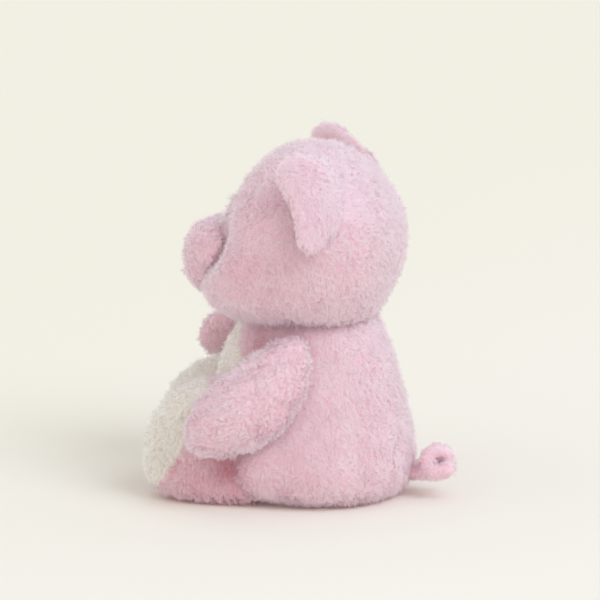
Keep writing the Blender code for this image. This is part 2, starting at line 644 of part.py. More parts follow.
for side, sign in SIDES.items():
    outward = Vector((sign * side_normal.x, 0.0, side_normal.z))
    upward = Vector((-sign * side_normal.z, 0.0, side_normal.x))
    forward = Vector((0.0, -1.0, 0.0))
    droop = math.radians(ARM_ANGLES[side])
    along_arm = forward * math.cos(droop) - upward * math.sin(droop)
    over_arm = forward * math.sin(droop) + upward * math.cos(droop)
    shoulder = pivot_empty(f"shoulder_pivot_{side}", (sign * shoulder_side, 0.0, shoulder_height))

    def arm_place(thick, up, station, axes=(outward, over_arm, along_arm)):
        """Lay the arm out from the shoulder, flat on its inner face."""
        return axes[0] * max(thick, 0.0) + axes[1] * up + axes[2] * station

    arm_form = ringed_form(
        "arm_form", (ARM_LENGTH * ARM_ROOT_SHARES[0], ARM_HALF_WIDTH * ARM_ROOT_SHARES[1]), arm_rings,
        (ARM_LENGTH * ARM_TIP_SHARES[0], ARM_HALF_WIDTH * ARM_TIP_SHARES[1]),
        ARM_SIDES, OVAL_SHARE, arm_place)
    seam_inside = add_cutter(f"arm_seam_inside_{side}", side_block(
        "seam_inside", outward * ARM_SEAM_DEPTH, -outward, widest), shoulder)
    seam_outside = add_cutter(f"arm_seam_outside_{side}", side_block(
        "seam_outside", outward * (ARM_SEAM_DEPTH + SEAM_GAP), outward, widest), shoulder)
    arm_inner = add_part(f"arm_inner_{side}", arm_form, PINK_PLUSH, shoulder)
    arm_outer = add_part(f"arm_outer_{side}", arm_form, PINK_PLUSH, shoulder)
    hollow(arm_inner)
    hollow(arm_outer)
    cut(arm_inner, seam_inside, 'INTERSECT')
    cut(arm_outer, seam_outside, 'INTERSECT')
    add_part(f"arm_stuffing_{side}", offset_mesh(arm_form, "inside", -wall_and_gap), FILLING, shoulder)

# Legs: a pink cover behind the sole's seam, the cream sole in front of it, and the filling
for side, sign in SIDES.items():
    toe_out = math.radians(SOLE_TOE_ANGLE)
    lean = math.radians(SOLE_LEAN_ANGLE)
    level = Vector((sign * math.sin(toe_out), -math.cos(toe_out), 0.0))
    facing = level * math.cos(lean) + Vector((0.0, 0.0, math.sin(lean)))
    seam = Vector((0.0, -SOLE_SEAM_REACH, SOLE_SEAM_HEIGHT))
    ahead = add_cutter(f"sole_side_{side}", side_block(
        "sole_side", seam + facing * SEAM_GAP, facing, widest), hips[side])
    behind = add_cutter(f"cover_side_{side}", side_block("cover_side", seam, -facing, widest), hips[side])
    leg_cover = add_part(f"leg_cover_{side}", leg_forms[side], PINK_PLUSH, hips[side])
    sole = add_part(f"sole_{side}", leg_forms[side], CREAM_PLUSH, hips[side])
    for cover, keep in ((leg_cover, behind), (sole, ahead)):
        hollow(cover)
        cut(cover, keep, 'INTERSECT')
        cut(cover, below_floor)
    add_part(f"leg_stuffing_{side}", offset_mesh(leg_forms[side], "inside", -wall_and_gap), FILLING, hips[side])


# Tail: out of the dimple, once round the curl, and out again to the tip
def tail_points():
    """List the tail's (point, radius share) pairs from its root to its tip."""
    low = TAIL_CURL_RISE - TAIL_CURL_RADIUS
    points = []
    for step_share, radius_share in TAIL_ROOT_SHARES:
        way_out = max(step_share, 0.0)
        points.append((Vector((TAIL_SIDE_START * way_out ** TAIL_LEAN_POWER_SHARE,
                               TAIL_CURL_BACK * step_share, low * way_out)), radius_share))
    for step in range(TAIL_TURN_POINTS + 1):
        turn = step / TAIL_TURN_POINTS
        angle = 2 * math.pi * turn - math.pi / 2
        points.append((Vector((TAIL_SIDE_START + TAIL_CURL_PITCH * turn,
                               TAIL_CURL_BACK + TAIL_CURL_RADIUS * math.cos(angle),
                               TAIL_CURL_RISE + TAIL_CURL_RADIUS * math.sin(angle))), 1.0))
    for reach_share, rise_share, radius_share in TAIL_TIP_SHARES:
        points.append((Vector((TAIL_SIDE_START + TAIL_CURL_PITCH,
                               TAIL_CURL_BACK + TAIL_TIP_REACH * reach_share,
                               low + TAIL_TIP_RISE * rise_share)), radius_share))
    return points


tail_curve = bpy.data.curves.new("tail", 'CURVE')
tail_curve.dimensions = '3D'
tail_curve.bevel_depth = TAIL_RADIUS
tail_curve.bevel_resolution = 3
tail_curve.use_fill_caps = True
spline = tail_curve.splines.new('POLY')
curl = tail_points()
spline.points.add(len(curl) - 1)
for knot, (point, radius_share) in zip(spline.points, curl):
    knot.co = (*point, 1.0)
    knot.radius = radius_share
tail_curve.materials.append(fabric("tail", *PINK_PLUSH))
tail = bpy.data.objects.new("tail", tail_curve)
tail.parent = tail_root
pig.objects.link(tail)

apart = TAIL_CURL_RADIUS * math.pi
track = [0.0]
for (first, _), (second, _) in zip(curl, curl[1:]):
    track.append(track[-1] + (second - first).length)
least = min((curl[i][0] - curl[j][0]).length - TAIL_RADIUS * (curl[i][1] + curl[j][1])
            for i in range(len(curl)) for j in range(i) if track[i] - track[j] > apart)
print(f"tail: least gap to itself {least * 1000:.2f} mm")
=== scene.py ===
"""Looks of the seated plush pig: padded forms under a dense pale pink pile, on a plain cream floor."""
import math

import bpy
import numpy as np
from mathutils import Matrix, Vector, kdtree


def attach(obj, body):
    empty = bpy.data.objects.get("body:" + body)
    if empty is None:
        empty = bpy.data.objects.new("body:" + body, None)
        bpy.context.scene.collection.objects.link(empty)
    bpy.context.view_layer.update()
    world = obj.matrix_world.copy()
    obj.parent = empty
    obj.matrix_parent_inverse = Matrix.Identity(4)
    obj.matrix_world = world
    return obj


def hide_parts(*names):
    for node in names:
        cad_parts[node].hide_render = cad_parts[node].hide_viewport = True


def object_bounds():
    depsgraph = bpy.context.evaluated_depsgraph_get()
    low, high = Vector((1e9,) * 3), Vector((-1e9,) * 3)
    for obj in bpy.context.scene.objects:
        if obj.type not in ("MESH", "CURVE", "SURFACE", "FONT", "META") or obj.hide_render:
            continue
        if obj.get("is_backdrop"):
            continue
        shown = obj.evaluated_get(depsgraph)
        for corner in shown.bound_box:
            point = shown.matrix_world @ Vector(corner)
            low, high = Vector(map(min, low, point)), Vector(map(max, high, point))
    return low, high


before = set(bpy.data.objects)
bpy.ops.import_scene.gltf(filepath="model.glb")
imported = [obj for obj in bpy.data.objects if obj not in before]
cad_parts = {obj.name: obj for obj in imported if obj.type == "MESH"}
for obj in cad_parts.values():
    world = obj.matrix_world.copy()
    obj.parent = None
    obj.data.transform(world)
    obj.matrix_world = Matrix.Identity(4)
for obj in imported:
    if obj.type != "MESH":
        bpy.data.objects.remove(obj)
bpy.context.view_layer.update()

# ---- Floor, light and camera -------------------------------------------------------------
# A large sheet of cream paper. One broad soft lamp stands high behind the toy's back, a weak
# fill shines from its front, and the room fills the rest from every side.
CAMERA_TOWARDS = Vector((0.9550, 0.2030, 0.2164))
CAMERA_DISTANCE = 4.0
CAMERA_RIGHT = Vector((-0.2079, 0.9781, 0.0))
CAMERA_UP = Vector((-0.2117, -0.0450, 0.9763))
FRAME_WIDTH_MM = 431.7
SENSOR_MM = 36.0
PAPER = "#F7F5EE"
ROOM_LIGHT = 0.84
ROOM_LOW = "#FFF4E2"
ROOM_HIGH = "#F4FBFF"
LAMP_STRENGTH = 1.18
LAMP_COLOUR = "#F0F8FF"
LAMP_SPREAD_DEG = 34
LAMP_FROM = Vector((0.58, 0.92, 1.02))
FILL_STRENGTH = 0.36
FILL_SPREAD_DEG = 70
FILL_COLOUR = "#FDF4FA"
FILL_FROM = Vector((0.35, -1.0, 0.22))
TARGET_RIGHT = -0.0079
TARGET_UP = 0.136
FLOOR_SIZE = 40.0
# Way along the paper in which a painted shade darkens it, for the lamp's falloff.
FLOOR_SHADE_WAY = (-0.55, -1.3, 0.0)


def linear(hex_colour):
    """Turn an sRGB hex colour into the linear colour that a shader takes."""
    parts = [int(hex_colour[i:i + 2], 16) / 255 for i in (1, 3, 5)]
    return tuple(p / 12.92 if p <= 0.04045 else ((p + 0.055) / 1.055) ** 2.4 for p in parts) + (1.0,)


def add_node(tree, kind, inputs=None, **settings):
    """Add a node, with its settings, and its inputs as values or as links from other nodes."""
    node = tree.nodes.new(kind)
    for key, value in settings.items():
        setattr(node, key, value)
    for key, value in (inputs or {}).items():
        if isinstance(value, bpy.types.NodeSocket):
            tree.links.new(value, node.inputs[key])
        else:
            node.inputs[key].default_value = value
    return node


def new_material(name):
    """Start a material with its Principled shader, and return the material, tree and shader."""
    material = bpy.data.materials.new(name)
    material.use_nodes = True
    return material, material.node_tree, material.node_tree.nodes["Principled BSDF"]


scene = bpy.context.scene
scene.view_settings.view_transform = 'Standard'
scene.cycles.diffuse_bounces = 10
target = CAMERA_RIGHT * TARGET_RIGHT + CAMERA_UP * TARGET_UP
camera = bpy.data.objects.new("camera", bpy.data.cameras.new("camera"))
scene.collection.objects.link(camera)
camera.location = target + CAMERA_TOWARDS * CAMERA_DISTANCE
camera.rotation_euler = (-CAMERA_TOWARDS).to_track_quat('-Z', 'Y').to_euler()
camera.data.sensor_width = SENSOR_MM
camera.data.lens = SENSOR_MM * CAMERA_DISTANCE * 1000 / FRAME_WIDTH_MM
scene.camera = camera

world = bpy.data.worlds.new("room")
world.use_nodes = True
scene.world = world
room = world.node_tree
room_background = room.nodes["Background"]
way_out = add_node(room, 'ShaderNodeTexCoord')
facing_up = add_node(room, 'ShaderNodeSeparateXYZ', {0: way_out.outputs["Generated"]})
sky = add_node(room, 'ShaderNodeMix', {0: facing_up.outputs["Z"], 6: linear(ROOM_LOW), 7: linear(ROOM_HIGH)},
               data_type='RGBA')
room.links.new(sky.outputs[2], room_background.inputs["Color"])
room_background.inputs["Strength"].default_value = ROOM_LIGHT
paper_background = add_node(room, 'ShaderNodeBackground', {"Color": linear(PAPER), "Strength": 1.0})
path = add_node(room, 'ShaderNodeLightPath')
seen = add_node(room, 'ShaderNodeMath', {0: path.outputs["Is Camera Ray"], 1: path.outputs["Is Glossy Ray"]},
                operation='MAXIMUM')
seen = add_node(room, 'ShaderNodeMath', {0: seen.outputs[0], 1: path.outputs["Is Transmission Ray"]},
                operation='MAXIMUM')
swap = add_node(room, 'ShaderNodeMixShader', {0: seen.outputs[0], 1: room_background.outputs[0],
                                              2: paper_background.outputs[0]})
room.links.new(swap.outputs[0], room.nodes["World Output"].inputs["Surface"])

for name, strength, spread, source, colour in (
        ("lamp", LAMP_STRENGTH, LAMP_SPREAD_DEG, LAMP_FROM, LAMP_COLOUR),
        ("fill", FILL_STRENGTH, FILL_SPREAD_DEG, FILL_FROM, FILL_COLOUR)):
    lamp = bpy.data.objects.new(name, bpy.data.lights.new(name, 'SUN'))
    scene.collection.objects.link(lamp)
    lamp.data.energy = strength
    lamp.data.color = linear(colour)[:3]
    lamp.data.angle = math.radians(spread)
    lamp.rotation_euler = source.to_track_quat('Z', 'Y').to_euler()

bpy.ops.object.select_all(action='DESELECT')
bpy.ops.mesh.primitive_plane_add(size=FLOOR_SIZE, location=(0.0, 0.0, 0.0))
floor = bpy.context.object
floor.name = "paper_sheet"
paper, tree, shader = new_material("matt_cream_paper")
place = add_node(tree, 'ShaderNodeTexCoord')
grain = add_node(tree, 'ShaderNodeTexNoise', {"Vector": place.outputs["Object"], "Scale": 3.0, "Detail": 2.0})
# Painted shade: the paper darkens towards the far left, away from the lamp.
towards_shade = add_node(tree, 'ShaderNodeVectorMath', {0: place.outputs["Object"], 1: FLOOR_SHADE_WAY},
                operation='DOT_PRODUCT')
painted_light_share = add_node(tree, 'ShaderNodeMapRange', {"Value": towards_shade.outputs["Value"], "From Min": -0.3,
                                             "From Max": 0.8})
near = add_node(tree, 'ShaderNodeMix', {0: grain.outputs["Fac"], 6: linear("#F2EFE9"), 7: linear("#F1EDE6")},
                data_type='RGBA')
tint = add_node(tree, 'ShaderNodeMix', {0: painted_light_share.outputs["Result"], 6: near.outputs[2], 7: linear("#EEE9DE")},
                data_type='RGBA')
# The paper shows the camera its cream, but bounces a paler one onto the toy: painted extra bounce light.
way = add_node(tree, 'ShaderNodeLightPath')
brighter_bounce = add_node(tree, 'ShaderNodeMix', {0: way.outputs["Is Diffuse Ray"], 6: tint.outputs[2],
                                       7: linear("#FBF8F4")}, data_type='RGBA')
tree.links.new(brighter_bounce.outputs[2], shader.inputs["Base Color"])
shader.inputs["Roughness"].default_value = 1.0
shader.inputs["Specular IOR Level"].default_value = 0.0
floor.data.materials.append(paper)
floor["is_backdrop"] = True

# ---- Torso -------------------------------------------------------------------------------
# A pear-shaped bag of knitted backing cloth, stuffed firmly with fibre over a weighted pouch,
# with a cream shield let into the front. The pile is cut plush, about 4.4 mm long, and it
# falls down the body in small clumps.
PILE_DEPTH = 0.0022
TORSO_VOXEL = 0.0040
BELLY_OUTLINE = ((0.012, 0.130), (0.046, 0.098), (0.046, -0.010))
PINK_ROOT = "#F4CCD9"
PINK_TIP = "#FFFAFB"
CREAM_ROOT = "#F5F0E8"
CREAM_TIP = "#FFFEFB"
# Way that faces take painted top light: the pile is painted paler where it faces this way.
PAINTED_LIGHT_WAY = (0.0, 0.38, 0.925)
# Deep rose painted into the plush as shade in the creases.
PAINTED_SHADE_COLOUR = "#C8718A"
# Distance from the middle, y, z and reach of each crease where shade is painted into the plush as a deep rose:
# the hip, the neck, the side of the snout and the brow.
PAINTED_SHADE_SPOTS = ((0.070, -0.046, 0.030, 0.013), (0.047, -0.025, 0.112, 0.016), (0.036, -0.050, 0.190, 0.008),
           (0.041, -0.036, 0.227, 0.005))
PILE_LENGTH = 0.0044
BELLY_PILE_LENGTH = 0.0052
FRINGE_LENGTH = 0.0024
FRINGE_HEIGHT = 0.014
FLOOR_GAP = 0.0003
SEAT_HEIGHT = 0.004
SWELL_REACH = (0.034, 0.034, 0.036)


def select_only(piece):
    """Make a piece the only selected one, and the active one."""
    bpy.ops.object.select_all(action='DESELECT')
    piece.select_set(True)
    bpy.context.view_layer.objects.active = piece


def apply_modifier(piece, kind, **settings):
    """Give a piece a modifier and apply it."""
    select_only(piece)
    modifier = piece.modifiers.new(kind.lower(), kind)
    for key, value in settings.items():
        setattr(modifier, key, value)
    bpy.ops.object.modifier_apply(modifier=modifier.name)


def points_of(mesh, kind="co"):
    """Read the places or the normals of a mesh's vertices."""
    found = np.empty(len(mesh.vertices) * 3)
    mesh.vertices.foreach_get(kind, found)
    return found.reshape(-1, 3)


def padded_form(name, nodes, voxel, depth, seams=None, pressure=4.0, cap=0.0016, even=6):
    """Merge copies of CAD solids into one closed bag, set in by the given depth, and puff it up."""
    bpy.ops.object.select_all(action='DESELECT')
    copies = []
    for node in nodes:
        copy = bpy.data.objects.new(name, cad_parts[node].data.copy())
        scene.collection.objects.link(copy)
        copy.select_set(True)
        copies.append(copy)
    bpy.context.view_layer.objects.active = copies[0]
    if len(copies) > 1:
        bpy.ops.object.join()
    form = bpy.context.view_layer.objects.active
    form.name = form.data.name = name
    form.data.materials.clear()
    select_only(form)
    bpy.ops.object.mode_set(mode='EDIT')
    bpy.ops.mesh.select_all(action='SELECT')
    bpy.ops.mesh.remove_doubles(threshold=0.00002)
    bpy.ops.object.mode_set(mode='OBJECT')
    apply_modifier(form, 'REMESH', mode='VOXEL', voxel_size=voxel)
    apply_modifier(form, 'SMOOTH', factor=0.5, iterations=even)
    apply_modifier(form, 'DISPLACE', strength=-depth, mid_level=0.0)
    before = points_of(form.data)
    held = form.vertex_groups.new(name="seams")
    if seams is not None:
        held.add([int(i) for i in np.flatnonzero(seams(before))], 1.0, 'REPLACE')
    cloth = form.modifiers.new("stuffing", 'CLOTH')
    cloth.settings.use_pressure = True
    cloth.settings.uniform_pressure_force = pressure
    cloth.settings.effector_weights.gravity = 0.0
    cloth.settings.vertex_group_mass = "seams"
    for step in range(1, 21):
        scene.frame_set(step)
    select_only(form)
    bpy.ops.object.modifier_apply(modifier="stuffing")
    scene.frame_set(1)
    moved = points_of(form.data) - before
    far = np.linalg.norm(moved, axis=1, keepdims=True)
    moved *= np.minimum(1.0, cap / np.maximum(far, 1e-9))
    form.data.vertices.foreach_set("co", (before + moved).ravel())
    form.data.update()
    select_only(form)
    bpy.ops.object.shade_smooth()
    return form


def press(form, centre, reach, push):
    """Push the part of a form round a centre along a vector, fading out over the reach."""
    places = points_of(form.data)
    near = np.clip(1.0 - np.linalg.norm((places - centre) / reach, axis=1) ** 2, 0.0, 1.0) ** 2
    form.data.vertices.foreach_set("co", (places + near[:, None] * np.array(push)).ravel())
    form.data.update()


def unit(vectors):
    """Scale vectors to a length of one."""
    return vectors / np.maximum(np.linalg.norm(vectors, axis=1, keepdims=True), 1e-9)


def wander(places, size, seed):
    """A smooth field of small vectors that turns over the given size, for the lie of the pile."""
    rng = np.random.default_rng(seed)
    field = np.zeros_like(places)
    for _ in range(5):
        wave = rng.normal(size=(3, 3)) * (2 * math.pi / size / 1.7)
        field += np.sin(places @ wave + rng.uniform(0, 2 * math.pi, 3))
    return field / 2.2


def nearest(places, centres):
    """For each place, the number of its nearest centre."""
    tree = kdtree.KDTree(len(centres))
    for number, centre in enumerate(centres):
        tree.insert(centre, number)
    tree.balance()
    return np.array([tree.find(place)[1] for place in places])


def grow_pile(name, form, seed, comb, keep=None, density=4.5, length=PILE_LENGTH, lift=42, tuft=0.0013,
              wave=0.024, width=0.00013, gather=0.50, ruffle=1.0):
    """Cover a padded form in tufts of thin blades, which rise and bend over along the comb's lie."""
    rng = np.random.default_rng(seed)
    mesh = form.data
    mesh.calc_loop_triangles()
    corners = np.empty(len(mesh.loop_triangles) * 3, dtype=np.int32)
    mesh.loop_triangles.foreach_get("vertices", corners)
    corners = corners.reshape(-1, 3)
    places, normals = points_of(mesh), points_of(mesh, "normal")
    a, b, c = (places[corners[:, i]] for i in range(3))
    areas = np.linalg.norm(np.cross(b - a, c - a), axis=1) / 2
    ends = np.cumsum(areas)
    count = int(ends[-1] * 1e6 * density)
    picked = np.searchsorted(ends, (np.arange(count) + rng.random(count)) * ends[-1] / count)
    picked = np.minimum(picked, len(corners) - 1)
    p, q = rng.random(count), rng.random(count)
    over = p + q > 1
    p[over], q[over] = 1 - p[over], 1 - q[over]
    weights = np.stack([1 - p - q, p, q], 1)[:, :, None]
    roots = (places[corners[picked]] * weights).sum(1)
    outward = unit((normals[corners[picked]] * weights).sum(1))
    if keep is not None:
        kept = keep(roots, outward)
        roots, outward = roots[kept], outward[kept]
    count = len(roots)

    def lie_at(where, out, turn_seed, loose):
        """Direction along the skin in which the pile lies."""
        stray = loose * rng.normal(size=where.shape)
        along = comb(where) + ruffle * (0.75 * wander(where, wave, turn_seed) + stray)
        along -= out * (along * out).sum(1, keepdims=True)
        return unit(along)

    centres = rng.choice(count, max(1, int(ends[-1] / (tuft * tuft))), replace=True)
    centres = np.unique(centres)
    raised = roots + outward * 2 * tuft
    own = nearest(raised, raised[centres])
    big = rng.choice(count, max(1, int(ends[-1] / (9 * tuft * tuft))), replace=True)
    big_own = nearest(roots[centres], roots[big])
    big_turn = rng.normal(size=(len(big), 3)) * 0.35 * ruffle
    tuft_lie = lie_at(roots[centres], outward[centres], seed + 7, 0.45)
    tuft_lie = unit(tuft_lie + big_turn[big_own])
    tuft_rise = np.radians(lift + rng.normal(size=(len(centres), 1)) * 9)
    mean_long = length(roots[centres])[:, None] if callable(length) else length
    tuft_long = mean_long * (1 + 0.16 * rng.normal(size=(len(centres), 1))).clip(0.6, 1.4)
    tuft_shade = rng.random(len(centres))

    lie = unit(tuft_lie[own] + 0.28 * rng.normal(size=roots.shape))
    rise = tuft_rise[own] + 0.16 * rng.normal(size=(count, 1))
    long = tuft_long[own] * (1 + 0.10 * rng.normal(size=(count, 1))).clip(0.7, 1.25)
    aim = outward * np.sin(rise) + lie * np.cos(rise)
    steep = outward * np.sin(rise + 0.38) + lie * np.cos(rise + 0.38)
    heart = roots[centres][own]
    heart_out = outward[centres][own]
    tuft_aim = heart_out * np.sin(tuft_rise[own]) + tuft_lie[own] * np.cos(tuft_rise[own])
    free = roots + aim * long
    gathered = heart + tuft_aim * long
    tips = free * (1 - gather) + gathered * gather
    bends = roots + steep * long * 0.52
    bends += (heart - roots) * gather * 0.38
    across = unit(np.cross(lie, outward) + 0.35 * rng.normal(size=roots.shape))
    thick = width * (0.8 + 0.4 * rng.random((count, 1)))
    blade = np.stack([roots, bends + across * thick, bends - across * thick, tips], 1)
    blade[:, :, 2] = np.maximum(blade[:, :, 2], FLOOR_GAP)
    bulge = unit(outward + 0.30 * (roots - heart) / tuft + 0.12 * lie)
    corner_order, corner_normals = [], []
    for order in ([0, 1, 2], [1, 3, 2]):
        first, second, third = (blade[:, i] for i in order)
        flat = unit(np.cross(second - first, third - first))
        inward = (flat * bulge).sum(1) < 0
        flat[inward] *= -1
        order = np.tile(np.array(order, dtype=np.int32), (count, 1))
        order[inward] = order[inward][:, ::-1]
        corner_order.append(order + np.arange(count, dtype=np.int32)[:, None] * 4)
        corner_normals.append(np.repeat(unit(bulge + 0.4 * flat)[:, None], 3, 1))

    pile = bpy.data.meshes.new(name)
    pile.vertices.add(count * 4)
    pile.vertices.foreach_set("co", blade.ravel())
    pile.loops.add(count * 6)
    pile.loops.foreach_set("vertex_index", np.concatenate(corner_order, 1).ravel())
    pile.polygons.add(count * 2)
    pile.polygons.foreach_set("loop_start", np.arange(count * 2, dtype=np.int32) * 3)
    pile.update(calc_edges=True)
    along = np.tile([0.0, 0.5, 0.5, 1.0], count)
    pile.attributes.new("along", 'FLOAT', 'POINT').data.foreach_set("value", along)
    pile.attributes.new("tuft", 'FLOAT', 'POINT').data.foreach_set("value", np.repeat(tuft_shade[own], 4))
    # Painted top light: the share of paler colour on roots that face up.
    painted_top_light = np.clip((outward @ np.array(PAINTED_LIGHT_WAY) - 0.1) / 0.8, 0.0, 1.0)
    pile.attributes.new("painted_top_light", 'FLOAT', 'POINT').data.foreach_set("value", np.repeat(painted_top_light, 4))
    pile.polygons.foreach_set("use_smooth", np.ones(count * 2, dtype=bool))
    pile.normals_split_custom_set(np.concatenate(corner_normals, 1).reshape(-1, 3))
    # Share of painted shade round each crease, the same on both sides.
    mirrored = np.column_stack([np.abs(roots[:, 0]), roots[:, 1], roots[:, 2]])
    painted_shade = sum(np.exp(-(((mirrored - crease[:3]) ** 2).sum(1) / crease[3] ** 2)) for crease in PAINTED_SHADE_SPOTS)
    pile.attributes.new("painted_shade", 'FLOAT', 'POINT').data.foreach_set("value", np.repeat(painted_shade, 4))
    piece = bpy.data.objects.new(name, pile)
    scene.collection.objects.link(piece)
    return piece


def plush(name, root, tip, painted_sheen_colour="#FBEFF5", painted_top_light_colour="#F9EFF8", painted_shade_colour=PAINTED_SHADE_COLOUR,
          mottle=0.5, shade_share=0.5, painted_sheen_strength=1.0):
    """Cut polyester plush: matt, deeper at the roots and mottled from tuft to tuft, with a painted sheen seen
    aslant, painted top light and painted shade in the creases.
    """
    material, tree, shader = new_material(name)
    along = add_node(tree, 'ShaderNodeAttribute', attribute_name="along")
    tuft = add_node(tree, 'ShaderNodeAttribute', attribute_name="tuft")
    place = add_node(tree, 'ShaderNodeTexCoord')
    cloud = add_node(tree, 'ShaderNodeTexNoise', {"Vector": place.outputs["Object"], "Scale": 45.0,
                                                  "Detail": 2.0})
    rise = add_node(tree, 'ShaderNodeMath', {0: along.outputs["Fac"], 1: 0.45}, operation='POWER')
    body = add_node(tree, 'ShaderNodeMix', {0: rise.outputs[0], 6: linear(root), 7: linear(tip)},
                    data_type='RGBA')
    some = add_node(tree, 'ShaderNodeMath', {0: tuft.outputs["Fac"], 1: shade_share}, operation='MULTIPLY')
    more = add_node(tree, 'ShaderNodeMapRange', {"Value": cloud.outputs["Fac"], "From Min": 0.35,
                                                 "From Max": 0.70, "To Min": 0.0, "To Max": mottle * 0.5})
    both = add_node(tree, 'ShaderNodeMath', {0: some.outputs[0], 1: more.outputs[0]}, operation='ADD',
                    use_clamp=True)
    deep = add_node(tree, 'ShaderNodeMix', {0: both.outputs[0], 6: body.outputs[2], 7: linear(root)},
                    data_type='RGBA')
    # Painted sheen: the colour pales towards a lilac white seen aslant.
    aslant = add_node(tree, 'ShaderNodeLayerWeight', {"Blend": 0.5})
    painted_sheen = add_node(tree, 'ShaderNodeMapRange', {"Value": aslant.outputs["Facing"], "From Min": 0.10,
                                                  "From Max": 0.62, "To Min": 0.0, "To Max": painted_sheen_strength})
    # Painted top light: the colour pales on faces turned up.
    painted_top_light = add_node(tree, 'ShaderNodeAttribute', attribute_name="painted_top_light")
    # Painted shade: the colour turns deep rose round the creases.
    painted_shade = add_node(tree, 'ShaderNodeAttribute', attribute_name="painted_shade")
    kept = add_node(tree, 'ShaderNodeMath', {0: painted_shade.outputs["Fac"], 1: 0.75}, operation='MULTIPLY',
                    use_clamp=True)
    shaded_in_creases = add_node(tree, 'ShaderNodeMix', {0: kept.outputs[0], 6: deep.outputs[2], 7: linear(painted_shade_colour)},
                    data_type='RGBA')
    painted_light_share = add_node(tree, 'ShaderNodeMath', {0: painted_top_light.outputs["Fac"], 1: 0.75}, operation='MULTIPLY')
    painted_top_lit = add_node(tree, 'ShaderNodeMix', {0: painted_light_share.outputs[0], 6: shaded_in_creases.outputs[2], 7: linear(painted_top_light_colour)},
                     data_type='RGBA')
    pale = add_node(tree, 'ShaderNodeMix', {0: painted_sheen.outputs[0], 6: painted_top_lit.outputs[2], 7: linear(painted_sheen_colour)},
                    data_type='RGBA')
    tree.links.new(pale.outputs[2], shader.inputs["Base Color"])
    shader.inputs["Roughness"].default_value = 0.6
    shader.inputs["Specular IOR Level"].default_value = 0.45
    shader.inputs["Sheen Weight"].default_value = 1.0
    shader.inputs["Sheen Roughness"].default_value = 0.4
    shader.inputs["Sheen Tint"].default_value = linear("#FBF6FF")
    through = add_node(tree, 'ShaderNodeBsdfTranslucent', {"Color": pale.outputs[2]})
    face = add_node(tree, 'ShaderNodeNewGeometry')
    share = add_node(tree, 'ShaderNodeMapRange', {"Value": face.outputs["Backfacing"], "To Min": 0.25,
                                                  "To Max": 0.75})
    fibre = add_node(tree, 'ShaderNodeMixShader', {0: share.outputs[0], 1: shader.outputs[0],
                                                   2: through.outputs[0]})
    tree.links.new(fibre.outputs[0], tree.nodes["Material Output"].inputs["Surface"])
    return material


def backing(name, colour, stitch_colour):
    """Knitted polyester backing of the pile: matt, with stitches 1 mm apart."""
    material, tree, shader = new_material(name)
    place = add_node(tree, 'ShaderNodeTexCoord')
    knit = add_node(tree, 'ShaderNodeTexNoise', {"Vector": place.outputs["Object"], "Scale": 900.0,
                                                 "Detail": 1.0})
    shade = add_node(tree, 'ShaderNodeMix', {0: knit.outputs["Fac"], 6: linear(colour),
                                             7: linear(stitch_colour)}, data_type='RGBA')
    tree.links.new(shade.outputs[2], shader.inputs["Base Color"])
    shader.inputs["Roughness"].default_value = 1.0
    shader.inputs["Specular IOR Level"].default_value = 0.1
    return material


def dress(piece, body, slot, material, *nodes):
    """Give a piece its material and its body, and hide the CAD nodes that it stands for. The slot is not used.
    """
    piece.data.materials.append(material)
    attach(piece, body)
    if nodes:
        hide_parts(*nodes)


def line_in_cream(form, chosen):
    """Change the backing of a form to cream where the test of its faces' middles holds."""
    form.data.materials.append(cream_backing)
    middles = np.empty(len(form.data.polygons) * 3)
    form.data.polygons.foreach_get("center", middles)
    form.data.polygons.foreach_set("material_index", chosen(middles.reshape(-1, 3)).astype(np.int32))


def belly_side(places):
    """How far each place lies inside the outline of the belly shield, seen from the front."""
    across = np.abs(places[:, 0])
    (x0, z0), (x1, z1), _ = BELLY_OUTLINE
    slope = np.clip((z0 - places[:, 2]) / (z0 - z1), 0.0, 1.0)
    half = x0 + (x1 - x0) * slope
    return np.where((places[:, 1] < -0.030) & (places[:, 2] < z0), half - across, -1.0)


def torso_seams(places):
    """Where the torso's bag is sewn: round the belly shield and down the middle of the back."""
    return (np.abs(belly_side(places)) < 0.0025) | ((np.abs(places[:, 0]) < 0.002) & (places[:, 1] > 0.0))


torso = padded_form("torso_bag", ["torso_cover", "belly_panel", "base_panel", "torso_stuffing", "bean_pouch"],
                    TORSO_VOXEL, PILE_DEPTH, torso_seams)
pink_plush = plush("pale_pink_cut_plush", PINK_ROOT, PINK_TIP)
# The cream plush takes its painted sheen and painted top light in pale cream, and its painted crease shade in
# pinkish beige.
cream_plush = plush("warm_white_cut_plush", CREAM_ROOT, CREAM_TIP, "#FDFBF8", "#FDFBF8", "#EBD9D4")
pink_backing = backing("pink_knitted_backing", "#FBDDE6", "#F7CEDA")
cream_backing = backing("cream_knitted_backing", "#F3ECE2", "#E9E0D4")
dress(torso, "torso", "pink_plush", pink_backing, "torso_cover", "belly_panel", "base_panel", "torso_stuffing",
      "bean_pouch")
line_in_cream(torso, lambda p: belly_side(p) >= 0)
for sign in (1.0, -1.0):
    press(torso, (sign * 0.062, -0.026, 0.033), SWELL_REACH, (sign * 0.004, -0.015, -0.004))


def falls_down(places):
    """The pile falls down the body and a little to the back."""
    return np.tile([0.0, 0.25, -1.0], (len(places), 1))


def longer_low(places):
    """The pile is longer near the floor, where the body's lower edge flattens it into a fringe."""
    return PILE_LENGTH + FRINGE_LENGTH * np.clip(1.0 - places[:, 2] / FRINGE_HEIGHT, 0.0, 1.0)


def torso_shown(places, outward):
    """Leave out the pile that would lie under the head and under the seat."""
    under_head = (places[:, 2] > 0.142) & (outward[:, 2] > 0.3)
    return ~under_head & ~((places[:, 2] < SEAT_HEIGHT) & (outward[:, 2] < -0.5))


